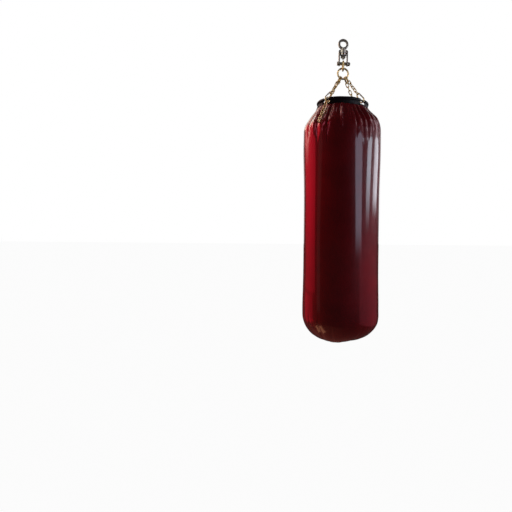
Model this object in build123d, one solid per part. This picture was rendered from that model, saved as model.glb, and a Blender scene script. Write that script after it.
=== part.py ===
"""Hanging heavy punch bag: a filled vinyl bag with a gathered neck and foot, a black rim
collar over a steel hoop, four short chain legs with snap hooks, and a ball-bearing swivel.

Millimetres. Origin at the centre of the hanging eye's bore, +Z up. The cross bolt lies
along X, the hanging eye's bore along Y, and the four legs stand at 45 degrees to both.
"""

from build123d import *
import os
from math import asin, atan, atan2, cos, degrees, hypot, pi, radians, sin, sqrt, tan

# ------------------------------------------------------------------ driving dimensions
# Clearances
running_gap = 0.08  # radial, shaft in bore
face_gap = 0.4  # between faces that turn past each other
seat_gap = 0.06  # between two wires that hang in each other
sewn_gap = 0.2  # between soft layers that lie on each other

# Hanging eye
eye_bore = 28.0
eye_rim = 10.0  # radial width of the ring
eye_thickness = 10.0
eye_edge = 1.0  # chamfer on the bore
eye_round = 3.0  # on the ring's outer edges
shank_diameter = 12.0
flange_diameter = 24.0
flange_height = 6.0
nut_flats = 19.0
nut_height = 10.0
shank_past_nut = 7.0
split_pin_wire = 2.6
split_pin_reach = 5.0  # each bent tail past the shank

# Thrust bearing
ball_diameter = 5.0
ball_count = 9
ball_circle = 20.0
race_diameter = 29.0
race_thickness = 3.5
race_spacing = 2.4
cage_thickness = 1.4

# Yoke and its cross bolt
yoke_wall = 12.0
yoke_boss_diameter = 35.0
yoke_arm_width = 22.0
yoke_arm_thickness = 6.0
yoke_overlap = 2.0  # the arms' reach into the bridge
yoke_edge = 1.5  # rounding of the arms' outer edges
bolt_diameter = 10.0
bolt_head_flats = 16.0
bolt_head_height = 6.4
bolt_nut_height = 9.0
spacer_wall = 2.2

# Swing link and master ring
swing_wire = 8.0
swing_inner_length = 30.0
swing_bar = 10.0  # straight length of its top and bottom bars
swing_corner = 6.0  # inner corner radius
swing_limit = 35.0  # degrees each way
ring_wire = 8.0
ring_inner_diameter = 40.0

# Chain legs
leg_links = 5
chain_wire = 4.0
chain_pitch = 19.0
end_wire = 5.0
end_pitch = 26.0
link_play = 0.8  # each side of what hangs in a link
leg_azimuth = 45.0

# Snap hooks
hook_wire = 6.0
hook_inner_length = 48.0
hook_large_play = 9.0  # large end's inner diameter over the hoop wire
hook_small_play = 5.0  # small end's inner diameter over the chain wire
tongue_thickness = 2.4
gate_pin = 2.0
gate_slack = 0.3
latch_slack = 0.5  # slot width over the latch pin
gate_opening = 25.0  # degrees

# Rim
hoop_wire = 8.0
hoop_diameter = 226.0  # centre line
collar_wall = 3.0
collar_drop = 25.0  # hoop centre line to the gathered hem
window_width = 34.0
window_depth = 15.0  # below the hoop's centre line
hem_thickness = 7.0
hem_height = 16.0
piping_diameter = 4.5

# Bag
bag_diameter = 350.0
bag_length = 1070.0  # gathered hem to underside
shoulder_angle = 31.0  # slope below the hem, from the vertical
shoulder_radius = 75.0
foot_radius = 125.0
skin_thickness = 2.0
foam_thickness = 15.0
liner_thickness = 1.5
patch_diameter = 96.0
patch_thickness = 2.0

# Top panel and zip
panel_thickness = 2.0
flange_rise = 9.0
panel_below_hem = 2.0
tape_width = 32.0
tape_thickness = 0.8
zip_slack = 3.0  # closed slider to the zip's end
tooth_pitch = 4.0
tooth_width = 7.0
tooth_height = 2.2
tooth_gap = 1.3
slider_length = 20.0
slider_width = 12.0
slider_height = 7.0
slider_wall = 1.4
tab_length = 34.0
tab_cheek = 1.5
tab_pin = 2.2
tab_hole = 5.0
tab_thickness = 1.8
tab_flip = 140.0  # degrees
tab_offset = 9.0  # its pin to its plate
tab_rim_gap = 6.5  # its tip to the panel's binding
bail_setback = 4.5  # the tab's pin from the slider's end

# Spare chain tail
tail_links = 6  # below the one round the hoop
tail_end_links = 3  # of those, the ones below its lowest hinge
tail_side_step = 9.5  # along the hoop, from the snap hook beside it
tail_clearance = 0.4  # above what it lies on
tail_lift = 50.0  # degrees outward, each of its three hinges

# ------------------------------------------------------------------ worked-out sizes
ring_radius = (ring_inner_diameter + ring_wire) / 2
hoop_radius = hoop_diameter / 2
bag_radius = bag_diameter / 2
collar_outer = hoop_radius + collar_wall / 2
collar_inner = hoop_radius - collar_wall / 2
neck_radius = collar_outer + hem_thickness
link_inner_width = max(hook_wire, end_wire) + 2 * link_play
end_inner_width = max(ring_wire, hoop_wire) + 4 * link_play
tail_azimuth = 180 + leg_azimuth  # the front left window

# The shoulder: a straight slope below the hem, then an arc to the upright side
slope = radians(shoulder_angle)
turn_radius = bag_radius - shoulder_radius * (1 - cos(slope))
turn_drop = (turn_radius - neck_radius) / tan(slope)  # below the hem
arc_drop = turn_drop + shoulder_radius * sin(slope)

tab_tip = collar_inner - sewn_gap - panel_thickness - tab_rim_gap
zip_length = 2 * (tab_tip - tab_length - tab_offset + bail_setback + zip_slack)

# Heights down the axis
flange_bottom = -(eye_bore / 2 + eye_rim - 2.0) - flange_height
yoke_top = flange_bottom - face_gap
yoke_underside = yoke_top - yoke_wall
upper_race_bottom = yoke_underside - race_thickness
ball_height = upper_race_bottom - race_spacing / 2
lower_race_top = upper_race_bottom - race_spacing
nut_top = lower_race_top - race_thickness
nut_bottom = nut_top - nut_height
split_pin_height = nut_bottom - split_pin_wire / 2 - face_gap
shank_bottom = nut_bottom - shank_past_nut

swing_outer_corner = swing_corner + swing_wire
swing_top_above_bolt = bolt_diameter / 2 + seat_gap + swing_wire
swing_corner_arm = hypot(swing_bar / 2, swing_outer_corner - swing_top_above_bolt)
bolt_height = shank_bottom - (swing_corner_arm + swing_outer_corner) - 1.5
swing_top_bar = bolt_height + bolt_diameter / 2 + seat_gap + swing_wire / 2
swing_bottom_bar = swing_top_bar - swing_inner_length - swing_wire
ring_height = swing_bottom_bar + (swing_wire + ring_wire) / 2 + seat_gap - ring_radius

yoke_gap_half = race_diameter / 2 + 1.0  # inner half width between the arms
yoke_half_width = yoke_gap_half + yoke_arm_thickness


# ------------------------------------------------------------------ the chain legs' layout
leg_contacts = leg_links + 3


def leg_length(gap):
    """Ring wire centre to hoop wire centre, with every wire `gap` short of its seat."""
    inside = end_pitch + leg_links * chain_pitch + hook_inner_length
    return inside - ring_wire / 2 - hoop_wire / 2 - leg_contacts * gap


def ring_seat(angle, side):
    """Centre of the master ring's wire, `angle` degrees up from its lowest point."""
    return Vector(
        side * ring_radius * sin(radians(angle)), 0, ring_height - ring_radius * cos(radians(angle))
    )


def hoop_point(azimuth, height):
    """Centre of the hoop's wire at an azimuth from +X."""
    a = radians(azimuth)
    return Vector(hoop_radius * cos(a), hoop_radius * sin(a), height)


def ring_tangent(angle, side):
    """The master ring's direction at a seat."""
    return Vector(side * cos(radians(angle)), 0, sin(radians(angle)))


def askew_loss(along, tangent):
    """Length a leg loses where its end link hangs askew on the ring's wire."""
    askew = along.dot(tangent)
    return (ring_wire + end_wire) / 2 * (1 / sqrt(1 - askew**2) - 1)


def settle_legs():
    """Angles on the master ring where the two end links of one side seat beside each other,
    and the hoop's height that leaves the tighter of the two legs just seated."""
    beside = degrees((end_wire + face_gap) / (ring_radius - ring_wire / 2 - end_wire / 2))
    middle = leg_azimuth
    height = ring_height - leg_length(seat_gap)
    for _ in range(40):
        angles = (middle - beside / 2, middle + beside / 2)
        heights = []
        for angle in angles:
            seat = ring_seat(angle, 1)
            span = hoop_point(leg_azimuth, height) - seat
            loss = askew_loss(span.normalized(), ring_tangent(angle, 1))
            reach = leg_length(seat_gap) - loss
            heights.append(seat.Z - sqrt(reach**2 - span.X**2 - span.Y**2))
        height = max(heights)
        pull = hoop_point(leg_azimuth, height) - ring_seat(middle, 1)
        middle = degrees(atan(pull.X / -pull.Z))
    return angles, height


seat_angles, hoop_height = settle_legs()
collar_top = hoop_height + hoop_wire / 2 + sewn_gap + collar_wall
hem_height_top = hoop_height - collar_drop  # where the skin's gathered edge lies
bag_bottom = hem_height_top - bag_length
panel_top = hem_height_top - panel_below_hem


# ------------------------------------------------------------------ small helpers
def turned(profile_points, axis=Axis.Z):
    """A solid of revolution about Z from (radius, height) corners."""
    line = Polyline(*[(r, 0, z) for r, z in profile_points], close=True)
    return revolve(make_face(line), axis)


def disc(radius, bottom, top, at=(0, 0)):
    """A plain upright cylinder between two heights."""
    return Pos(at[0], at[1], (bottom + top) / 2) * Cylinder(radius, top - bottom)


def tube(outer, inner, bottom, top):
    """A hollow upright cylinder."""
    return disc(outer, bottom, top) - disc(inner, bottom - 1, top + 1)


def bar_along_x(radius, left, right, height):
    """A cylinder along X at the cross bolt's place."""
    return Pos((left + right) / 2, 0, height) * Rot(0, 90, 0) * Cylinder(radius, right - left)


def hexagon(flats, height):
    """A hexagonal head or nut, its corners chamfered, on Z from 0 to height."""
    blank = extrude(RegularPolygon(flats / 2, 6, major_radius=False), height)
    corner = flats / sqrt(3)
    cone_rise = (corner - flats / 2) * tan(radians(30))
    crown = turned(
        [
            (0, 0),
            (flats / 2, 0),
            (corner, cone_rise),
            (corner, height - cone_rise),
            (flats / 2, height),
            (0, height),
        ]
    )
    return blank & crown


def half_ring(radius, wire):
    """Half a torus in the XY plane: the bend of a link, its apex at -radius on X."""
    section = Plane.XZ * (Pos(radius, 0) * Circle(wire / 2))
    return Rot(0, 0, 90) * revolve(section, Axis.Z, 180)


def link(inner_length, inner_width, wire):
    """A welded chain link in the XY plane. The wire's centre is at X = 0 at one bend's apex
    and at X = inner_length + wire at the other's."""
    bend = (inner_width + wire) / 2
    straight = inner_length + wire - 2 * bend
    sides = Pos(bend + straight / 2, bend, 0) * Rot(0, 90, 0) * Cylinder(wire / 2, straight)
    sides += Pos(bend + straight / 2, -bend, 0) * Rot(0, 90, 0) * Cylinder(wire / 2, straight)
    near = Pos(bend, 0, 0) * half_ring(bend, wire)
    far = Pos(bend + straight, 0, 0) * Rot(0, 0, 180) * half_ring(bend, wire)
    return sides + near + far


def square_to(direction, normal):
    """The unit vector nearest `normal` that is square to `direction`."""
    return (normal - direction * normal.dot(direction)).normalized()


def turn_about(vector, axis, angle):
    """`vector`, which is square to the unit `axis`, turned about it by `angle` degrees."""
    a = radians(angle)
    return vector * cos(a) + axis.cross(vector) * sin(a)


def placed(shape, start, direction, normal):
    """`shape` with its X along `direction` from `start` and its Z along `normal`."""
    return Plane(origin=start, x_dir=direction, z_dir=normal).location * shape


# ------------------------------------------------------------------ hanging eye and swivel
def top_eye():
    """Forged eye with a flanged shank that carries the bearing."""
    outer = eye_bore / 2 + eye_rim
    ring = Rot(90, 0, 0) * Cylinder(outer, eye_thickness)
    ring = fillet(ring.edges().filter_by(GeomType.CIRCLE), eye_round)
    bore = Rot(90, 0, 0) * Cylinder(eye_bore / 2, eye_thickness * 2)
    for side in (-1, 1):
        mouth = Pos(0, side * (eye_thickness - eye_edge) / 2, 0) * Rot(-90 * side, 0, 0)
        bore += mouth * Cone(eye_bore / 2, eye_bore / 2 + eye_edge, eye_edge)
    neck = disc(shank_diameter / 2, shank_bottom, -(eye_bore / 2 + eye_rim / 4))
    neck = chamfer(neck.edges().group_by(Axis.Z)[0], 1.0)
    flange = disc(flange_diameter / 2, flange_bottom, flange_bottom + flange_height)
    flange = chamfer(flange.edges().group_by(Axis.Z)[-1], 1.5)
    return ring + neck + flange - bore - split_pin_hole()


def split_pin_hole():
    radius = split_pin_wire / 2 + running_gap
    return bar_along_x(radius, -shank_diameter, shank_diameter, split_pin_height)


def lock_nut():
    nut = Pos(0, 0, nut_bottom) * hexagon(nut_flats, nut_height)
    return nut - disc(shank_diameter / 2 + running_gap, nut_bottom - 1, nut_top + 1)


def split_pin():
    """A split pin through the shank: an eye at one end and two bent tails at the other."""
    radius = split_pin_wire / 2
    half_shank = shank_diameter / 2
    leg = radius * 0.7
    stem_end = half_shank + face_gap + 2 * leg
    stem = bar_along_x(radius, -half_shank - face_gap, stem_end, split_pin_height)
    eye = Pos(-half_shank - face_gap - split_pin_wire, 0, split_pin_height)
    pin = stem + eye * Torus(split_pin_wire, leg)
    for side in (-1, 1):
        tail = Pos(stem_end - leg, side * split_pin_reach / 2, split_pin_height)
        pin += tail * Rot(90, 0, 0) * Cylinder(leg, split_pin_reach)
    return pin


def race(bottom, top, groove_height, bore_radius):
    """A grooved washer: the ball groove is cut round the ball circle."""
    washer = tube(race_diameter / 2, bore_radius, bottom, top)
    groove = Torus(ball_circle / 2, ball_diameter / 2 + running_gap)
    return washer - Pos(0, 0, groove_height) * groove


def bearing_balls():
    balls = []
    for i in range(ball_count):
        a = 2 * pi * i / ball_count
        place = Pos(ball_circle / 2 * cos(a), ball_circle / 2 * sin(a), ball_height)
        balls.append(place * Sphere(ball_diameter / 2))
    return balls


def ball_cage():
    inner = shank_diameter / 2 + face_gap
    cage = tube(race_diameter / 2 - 1.0, inner, ball_height - cage_thickness / 2,
                ball_height + cage_thickness / 2)
    for i in range(ball_count):
        a = 2 * pi * i / ball_count
        at = (ball_circle / 2 * cos(a), ball_circle / 2 * sin(a))
        cage -= disc(ball_diameter / 2 + running_gap, ball_height - cage_thickness,
                     ball_height + cage_thickness, at)
    return cage


def swivel_yoke():
    """Forged yoke: a boss over the bearing and two rounded arms down to the cross bolt."""
    boss = disc(yoke_boss_diameter / 2, yoke_underside, yoke_top)
    boss = chamfer(boss.edges().group_by(Axis.Z)[-1], 2.0)
    bridge = Pos(0, 0, (yoke_underside + yoke_top) / 2)
    bridge = bridge * Box(2 * yoke_half_width, yoke_arm_width, yoke_wall)
    bridge = fillet(bridge.edges().filter_by(Axis.Y).group_by(Axis.Z)[-1], yoke_wall * 0.6)
    drop = yoke_underside - bolt_height
    profile = Plane.YZ * (
        Pos(0, bolt_height) * Circle(yoke_arm_width / 2)
        + Pos(0, bolt_height + (drop + yoke_overlap) / 2)
        * Rectangle(yoke_arm_width, drop + yoke_overlap)
    )
    arm = extrude(profile, yoke_arm_thickness)
    arm = fillet(arm.faces().sort_by(Axis.X)[-1].edges(), yoke_edge)
    arm += bar_along_x(bolt_head_flats / 2 + yoke_edge, yoke_arm_thickness / 2,
                       yoke_arm_thickness, bolt_height)
    arm = Pos(yoke_gap_half, 0, 0) * arm
    yoke = boss + bridge + arm + mirror(arm, Plane.YZ)
    yoke -= disc(shank_diameter / 2 + running_gap, yoke_underside - 1, yoke_top + 1)
    bolt_hole = bolt_diameter / 2 + running_gap
    return yoke - bar_along_x(bolt_hole, -yoke_half_width - 1, yoke_half_width + 1, bolt_height)


def cross_bolt():
    """Hexagon bolt through both arms, long enough for its nut."""
    end = yoke_half_width + bolt_nut_height + 2.5
    shank = bar_along_x(bolt_diameter / 2, -yoke_half_width - 0.5, end, bolt_height)
    shank = chamfer(shank.edges().group_by(Axis.X)[-1], 1.0)
    head = Pos(-yoke_half_width - bolt_head_height, 0, bolt_height) * Rot(0, 90, 0)
    return shank + head * hexagon(bolt_head_flats, bolt_head_height)


def bolt_nut():
    nut = Pos(yoke_half_width, 0, bolt_height) * Rot(0, 90, 0)
    nut = nut * hexagon(bolt_head_flats, bolt_nut_height)
    clear = bolt_diameter / 2 + running_gap
    return nut - bar_along_x(clear, 0, yoke_half_width + 2 * bolt_nut_height, bolt_height)


def bolt_spacers():
    """Two sleeves that hold the swing link at the middle of the bolt."""
    sleeves = []
    inner = swing_wire / 2 + face_gap
    for side in (-1, 1):
        ends = sorted((side * inner, side * yoke_gap_half))
        outer = bar_along_x(bolt_diameter / 2 + spacer_wall, *ends, bolt_height)
        bore = bar_along_x(bolt_diameter / 2 + running_gap, -yoke_gap_half - 1,
                           yoke_gap_half + 1, bolt_height)
        sleeves.append(outer - bore)
    return sleeves


def swing_link():
    """A rounded rectangular link in the YZ plane, with straight top and bottom bars."""
    bend = swing_corner + swing_wire / 2
    height = swing_top_bar - swing_bottom_bar
    width = swing_bar + 2 * bend
    outline = Plane.YZ * (
        Pos(0, (swing_top_bar + swing_bottom_bar) / 2) * RectangleRounded(width, height, bend)
    )
    path = outline.wire()
    start = path.position_at(0)
    section = Plane(origin=start, z_dir=path.tangent_at(0)) * Circle(swing_wire / 2)
    return sweep(section, path)


def master_ring():
    return Pos(0, 0, ring_height) * Rot(90, 0, 0) * Torus(ring_radius, ring_wire / 2)


# ------------------------------------------------------------------ chain legs
class Leg:
    """One chain leg: its line from the ring to the hoop, and each piece's place on it."""

    def __init__(self, azimuth):
        a = radians(azimuth)
        side = 1 if cos(a) > 0 else -1
        # Opposite legs share a seat angle, so that the four end links lie two by two.
        angle = seat_angles[0] if cos(a) * sin(a) > 0 else seat_angles[1]
        self.seat = ring_seat(angle, side)
        self.foot = hoop_point(azimuth, hoop_height)
        span = self.foot - self.seat
        self.along = span.normalized()
        tangent = ring_tangent(angle, side)
        self.loss = askew_loss(self.along, tangent)
        self.gap = (leg_length(0) - self.loss - span.length) / leg_contacts
        hoop_tangent = Vector(-sin(a), cos(a), 0)
        self.first_normal = square_to(self.along, tangent)
        last_normal = square_to(self.along, hoop_tangent)
        outward_up = Vector(cos(a), sin(a), 1)
        if last_normal.cross(self.along).dot(outward_up) < 0:
            last_normal = last_normal * -1
        self.last_normal = last_normal
        steps = leg_links + 1
        turn = degrees(
            atan2(self.first_normal.cross(last_normal).dot(self.along),
                  self.first_normal.dot(last_normal))
        )
        spare = (turn - 90 * steps + 90) % 180 - 90
        self.step_turn = 90 + spare / steps

    def normal(self, step):
        return turn_about(self.first_normal, self.along, step * self.step_turn)

    def at(self, distance):
        return self.seat + self.along * distance

    def starts(self):
        """Distances from the seat to each piece's upper wire: end link, links, snap hook."""
        wires = [end_wire] + [chain_wire] * leg_links + [hook_wire]
        lengths = [end_pitch] + [chain_pitch] * leg_links
        place = [-(ring_wire + end_wire) / 2 - self.loss - self.gap]
        for i, length in enumerate(lengths):
            lower = place[-1] + length + wires[i]
            place.append(lower - (wires[i] + wires[i + 1]) / 2 - self.gap)
        return place


legs = [Leg(leg_azimuth + 90 * i) for i in range(4)]


def end_link(leg):
    start = leg.at(leg.starts()[0])
    return placed(link(end_pitch, end_inner_width, end_wire), start, leg.along, leg.normal(0))


def chain_leg(leg):
    blank = link(chain_pitch, link_inner_width, chain_wire)
    starts = leg.starts()
    return [
        placed(blank, leg.at(starts[i]), leg.along, leg.normal(i))
        for i in range(1, leg_links + 1)
    ]


# ------------------------------------------------------------------ snap hooks
class HookShape:
    """The snap hook's outline in its own XY plane: the small end's apex at X = 0, the gate
    on the +Y side."""

    small = (chain_wire + hook_small_play + hook_wire) / 2
    large = (hoop_wire + hook_large_play + hook_wire) / 2
    length = hook_inner_length + hook_wire
    small_x = small
    large_x = length - large
    lean = asin((large - small) / (large_x - small_x))
    along = Vector(cos(lean), sin(lean), 0)
    across = Vector(-sin(lean), cos(lean), 0)
    gate_from = Vector(small_x, 0, 0) + across * small
    gate_to = Vector(large_x, 0, 0) + across * large
    pin_shoulder = hook_wire / 2 + gate_slack
    hinge = gate_from + along * (pin_shoulder + 0.6)
    latch = gate_to - along * pin_shoulder
    reach = (latch - hinge).length


def in_gate_frame(shape, at):
    """`shape`, drawn with X along the gate, moved to a point of the hook's plane."""
    return Plane(origin=at, x_dir=HookShape.along, z_dir=(0, 0, 1)).location * shape


def snap_hook_body():
    s = HookShape
    hinge_shoulder = s.hinge - s.along * s.pin_shoulder
    spine_from = Vector(s.gate_from.X, -s.gate_from.Y, 0)
    spine_to = Vector(s.gate_to.X, -s.gate_to.Y, 0)
    path = Wire(
        [
            Line(hinge_shoulder, s.gate_from),
            ThreePointArc(s.gate_from, (0, 0, 0), spine_from),
            Line(spine_from, spine_to),
            ThreePointArc(spine_to, (s.length, 0, 0), s.gate_to),
        ]
    )
    section = Plane(origin=hinge_shoulder, z_dir=path.tangent_at(0)) * Circle(hook_wire / 2)
    wire = sweep(section, path)
    tip = hook_wire / 2 - gate_slack  # end radius of both tongues
    hinge_tongue = in_gate_frame(Pos(-s.pin_shoulder / 2 - 0.4, 0, 0)
                                 * Box(s.pin_shoulder + 0.8, 2 * tip, tongue_thickness), s.hinge)
    hinge_tongue += in_gate_frame(Cylinder(tip, tongue_thickness), s.hinge)
    hinge_tongue -= in_gate_frame(Cylinder(gate_pin / 2 + running_gap, hook_wire), s.hinge)
    lip = gate_pin / 2 + latch_slack / 2 + 1.2
    latch_tongue = in_gate_frame(Pos((s.pin_shoulder + 0.8 - lip) / 2, 0, 0)
                                 * Box(s.pin_shoulder + 0.8 + lip, 2 * tip, tongue_thickness),
                                 s.latch)
    slot_width = gate_pin + latch_slack
    slot = Pos(0, -hook_wire / 2, 0) * Box(slot_width, hook_wire, hook_wire)
    slot += Cylinder(slot_width / 2, hook_wire)
    latch_tongue -= in_gate_frame(slot, s.latch)
    return wire + hinge_tongue + latch_tongue


def snap_gate():
    """The sprung gate, closed: a round bar forked over a tongue at each end."""
    s = HookShape
    round_end = hook_wire / 2
    bar = Pos(s.reach / 2, 0, 0) * Rot(0, 90, 0)
    bar = bar * Cylinder(hook_wire / 2, s.reach + 2 * round_end)
    outline = Pos(s.reach / 2, 0, 0) * Box(s.reach, 2 * round_end, hook_wire)
    outline += Cylinder(round_end, hook_wire)
    outline += Pos(s.reach, 0, 0) * Cylinder(round_end, hook_wire)
    gate = bar & outline
    fork = tongue_thickness + 2 * gate_slack
    depth = gate_pin / 2 + latch_slack / 2 + 1.2 + 2 * gate_slack
    gate -= Pos((depth - round_end) / 2, 0, 0) * Box(depth + round_end, hook_wire * 2, fork)
    gate -= Pos(s.reach - (depth - round_end) / 2, 0, 0) * Box(depth + round_end,
                                                               hook_wire * 2, fork)
    gate -= Cylinder(gate_pin / 2 + running_gap, hook_wire * 2)
    gate += Pos(s.reach, 0, 0) * Cylinder(gate_pin / 2, pin_length())
    return in_gate_frame(gate, s.hinge)


def pin_length():
    """A gate pin is as long as the bar is thick where the pin comes out."""
    return 2 * sqrt((hook_wire / 2) ** 2 - (gate_pin / 2) ** 2) - 0.1


def gate_hinge_pin():
    pin = Cylinder(gate_pin / 2, pin_length())
    return in_gate_frame(pin, HookShape.hinge)


def on_leg(shape, leg):
    """`shape`, drawn in the snap hook's own frame, put at the foot of a leg."""
    return placed(shape, leg.at(leg.starts()[-1]), leg.along, leg.last_normal)


# ------------------------------------------------------------------ rim
def top_hoop():
    return Pos(0, 0, hoop_height) * Torus(hoop_radius, hoop_wire / 2)


def windows():
    """The four cut-outs in the collar where the snap hooks reach the hoop."""
    top = collar_top + 1
    depth = 3 * (hoop_wire + 2 * collar_wall)
    cut = Box(depth, window_width, top - (hoop_height - window_depth))
    cuts = []
    for i in range(4):
        place = Rot(0, 0, leg_azimuth + 90 * i)
        place = place * Pos(hoop_radius, 0, (top + hoop_height - window_depth) / 2)
        cuts.append(place * fillet(cut.edges().filter_by(Axis.X), 5.0))
    return cuts


def rim_collar():
    """Rubber-coated webbing, rolled over the hoop and sewn down inside the gathered hem."""
    roll = hoop_wire / 2 + sewn_gap + collar_wall
    bottom = hem_height_top - hem_height
    at_hoop = Plane.XZ * Pos(hoop_radius, hoop_height)
    wall = Plane.XZ * (Pos(hoop_radius, (bottom + hoop_height) / 2)
                       * Rectangle(collar_wall, hoop_height - bottom))
    section = at_hoop * Circle(roll) + wall - at_hoop * Circle(hoop_wire / 2 + sewn_gap)
    collar = revolve(section, Axis.Z)
    for cut in windows():
        collar -= cut
    return collar


def hem_piping():
    """The vinyl cord sewn along the gathered edge."""
    radius = neck_radius - piping_diameter / 2
    height = hem_height_top + piping_diameter / 2
    return Pos(0, 0, height) * Torus(radius, piping_diameter / 2)


# ------------------------------------------------------------------ bag
def bag_form(inset, top):
    """The bag's solid of revolution, `inset` inside its outer face and cut off at `top`."""
    arc_height = hem_height_top - arc_drop
    middle = Vector(bag_radius - shoulder_radius, 0, arc_height)

    def on_shoulder(angle):
        reach = shoulder_radius - inset
        return middle + Vector(reach * cos(angle), 0, reach * sin(angle))

    side = bag_radius - inset
    foot = foot_radius - inset
    foot_middle = Vector(bag_radius - foot_radius, 0, bag_bottom + foot_radius)
    bottom = bag_bottom + inset
    turn = on_shoulder(slope)
    neck = Vector(turn.X - (top - turn.Z) * tan(slope), 0, top)
    foot_corner = foot_middle + Vector(foot * cos(pi / 4), 0, -foot * sin(pi / 4))
    edges = [
        Line((0, 0, bottom), (foot_middle.X, 0, bottom)),
        ThreePointArc((foot_middle.X, 0, bottom), foot_corner, (side, 0, foot_middle.Z)),
        Line((side, 0, foot_middle.Z), (side, 0, arc_height)),
        ThreePointArc((side, 0, arc_height), on_shoulder(slope / 2), turn),
        Line(turn, neck),
        Line(neck, (0, 0, top)),
        Line((0, 0, top), (0, 0, bottom)),
    ]
    return revolve(make_face(Wire(edges)), Axis.Z)


def skin():
    """The vinyl cover, with its bunched hem sewn round the collar's lower edge."""
    hem_bottom = hem_height_top - hem_height
    cavity = bag_form(skin_thickness, hem_bottom)
    neck = disc(collar_outer + sewn_gap, hem_bottom - 1, hem_height_top + 1)
    return bag_form(0, hem_height_top) - cavity - neck


foam_top = hem_height_top - hem_height - 1.0
foam_inset = skin_thickness + sewn_gap
liner_inset = foam_inset + foam_thickness + sewn_gap
liner_top = panel_top - panel_thickness - sewn_gap
fill_inset = liner_inset + liner_thickness + sewn_gap
fill_top = liner_top - liner_thickness - sewn_gap


def foam_lining():
    return bag_form(foam_inset, foam_top) - bag_form(foam_inset + foam_thickness, foam_top)


def inner_liner():
    return bag_form(liner_inset, liner_top) - bag_form(
        liner_inset + liner_thickness, liner_top - liner_thickness
    )


def filling():
    return bag_form(fill_inset, fill_top)


def foot_patch():
    patch = disc(patch_diameter / 2, bag_bottom - patch_thickness, bag_bottom)
    return fillet(patch.edges().group_by(Axis.Z)[0], patch_thickness * 0.4)


# ------------------------------------------------------------------ top panel and zip
tape_top = panel_top + tape_thickness
slider_start = -zip_length / 2 + slider_length / 2 + zip_slack
slider_travel = zip_length - slider_length - 2 * zip_slack
slider_floor = tape_top + sewn_gap


def top_panel():
    """Canvas lid inside the collar."""
    return disc(collar_inner - sewn_gap, panel_top - panel_thickness, panel_top)


def panel_flange():
    """The lid's upturned binding, sewn to the inside of the collar."""
    outer = collar_inner - sewn_gap
    return tube(outer, outer - panel_thickness, panel_top, panel_top + flange_rise)


def zip_tape():
    tape = Pos(0, 0, panel_top + tape_thickness / 2)
    return tape * Box(zip_length + 14, tape_width, tape_thickness)


def zip_teeth():
    """Two interlocking rows of teeth on a common core bead."""
    height = tooth_height
    base = tape_top
    core = Pos(0, 0, base + height / 2) * Box(zip_length, tooth_gap, height)
    count = int(zip_length / tooth_pitch)
    teeth = core
    for i in range(count):
        x = -zip_length / 2 + (i + 0.5) * tooth_pitch
        side = 1 if i % 2 else -1
        tooth = Pos(x, side * tooth_width / 4, base + height / 2)
        teeth += tooth * Box(tooth_pitch * 0.55, tooth_width / 2, height)
    return teeth


def zip_stops():
    """The metal stops at both ends of the zip."""
    stops = []
    for side in (-1, 1):
        stop = Pos(side * (zip_length / 2 + 1.6), 0, tape_top + tooth_height / 2)
        stop = stop * Box(3.0, tooth_width, tooth_height)
        stops.append(fillet(stop.edges().filter_by(Axis.Z), 0.8))
    return stops


def zip_slider():
    """The slider's upper plate and side walls over the teeth, with a bail for the tab."""
    block = Pos(slider_start, 0, slider_floor + slider_height / 2)
    block = block * Box(slider_length, slider_width, slider_height)
    block = fillet(block.edges().filter_by(Axis.Z), slider_width * 0.3)
    block = fillet(block.edges().group_by(Axis.Z)[-1], slider_wall * 0.6)
    channel_top = tape_top + tooth_height + face_gap
    channel = Pos(slider_start, 0, (slider_floor + channel_top) / 2 - 0.5)
    channel = channel * Box(slider_length * 2, tooth_width + 2 * face_gap,
                            channel_top - slider_floor + 1.0)
    hole = Pos(bail_x, 0, bail_height) * Rot(90, 0, 0)
    return block - channel - hole * Cylinder(tab_pin / 2 + running_gap, 2 * slider_width)


bail_height = slider_floor + slider_height - slider_wall - tab_pin / 2
bail_x = slider_start - slider_length / 2 + bail_setback


def zip_tab():
    """A flat pull tab with a round pin through the slider and two cheeks beside it."""
    cheek = slider_width / 2 + face_gap
    width = 2 * (cheek + tab_cheek)
    tab = Pos(bail_x, 0, bail_height) * Rot(90, 0, 0) * Cylinder(tab_pin / 2, width)
    reach = tab_offset + tab_cheek
    for side in (-1, 1):
        arm = Pos(bail_x - reach / 2, side * (cheek + tab_cheek / 2), bail_height)
        tab += arm * Box(reach, tab_cheek, tab_pin)
        tab += Pos(bail_x, side * (cheek + tab_cheek / 2), bail_height) * (
            Rot(90, 0, 0) * Cylinder(tab_pin / 2 + 0.6, tab_cheek)
        )
    plate = Pos(bail_x - tab_offset - tab_length / 2, 0, bail_height)
    plate = plate * Box(tab_length, width, tab_thickness)
    plate = fillet(plate.edges().filter_by(Axis.Z), width * 0.26)
    tip_hole = Pos(bail_x - tab_offset - tab_length * 0.78, 0, bail_height)
    return tab + plate - tip_hole * Cylinder(tab_hole / 2, 3 * tab_thickness)


# ------------------------------------------------------------------ spare chain tail
tail_bend = (end_inner_width + end_wire) / 2  # centre-line radius of the first link's bends


def rest_angle(out, down, radius):
    """The first link's angle from the vertical where its lower side just clears a bar that
    runs round the bag, `out` and `down` from the hoop's wire."""
    apart = tail_bend + end_wire / 2 + radius + tail_clearance
    return degrees(atan(out / down) + asin(apart / hypot(out, down)))


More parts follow.
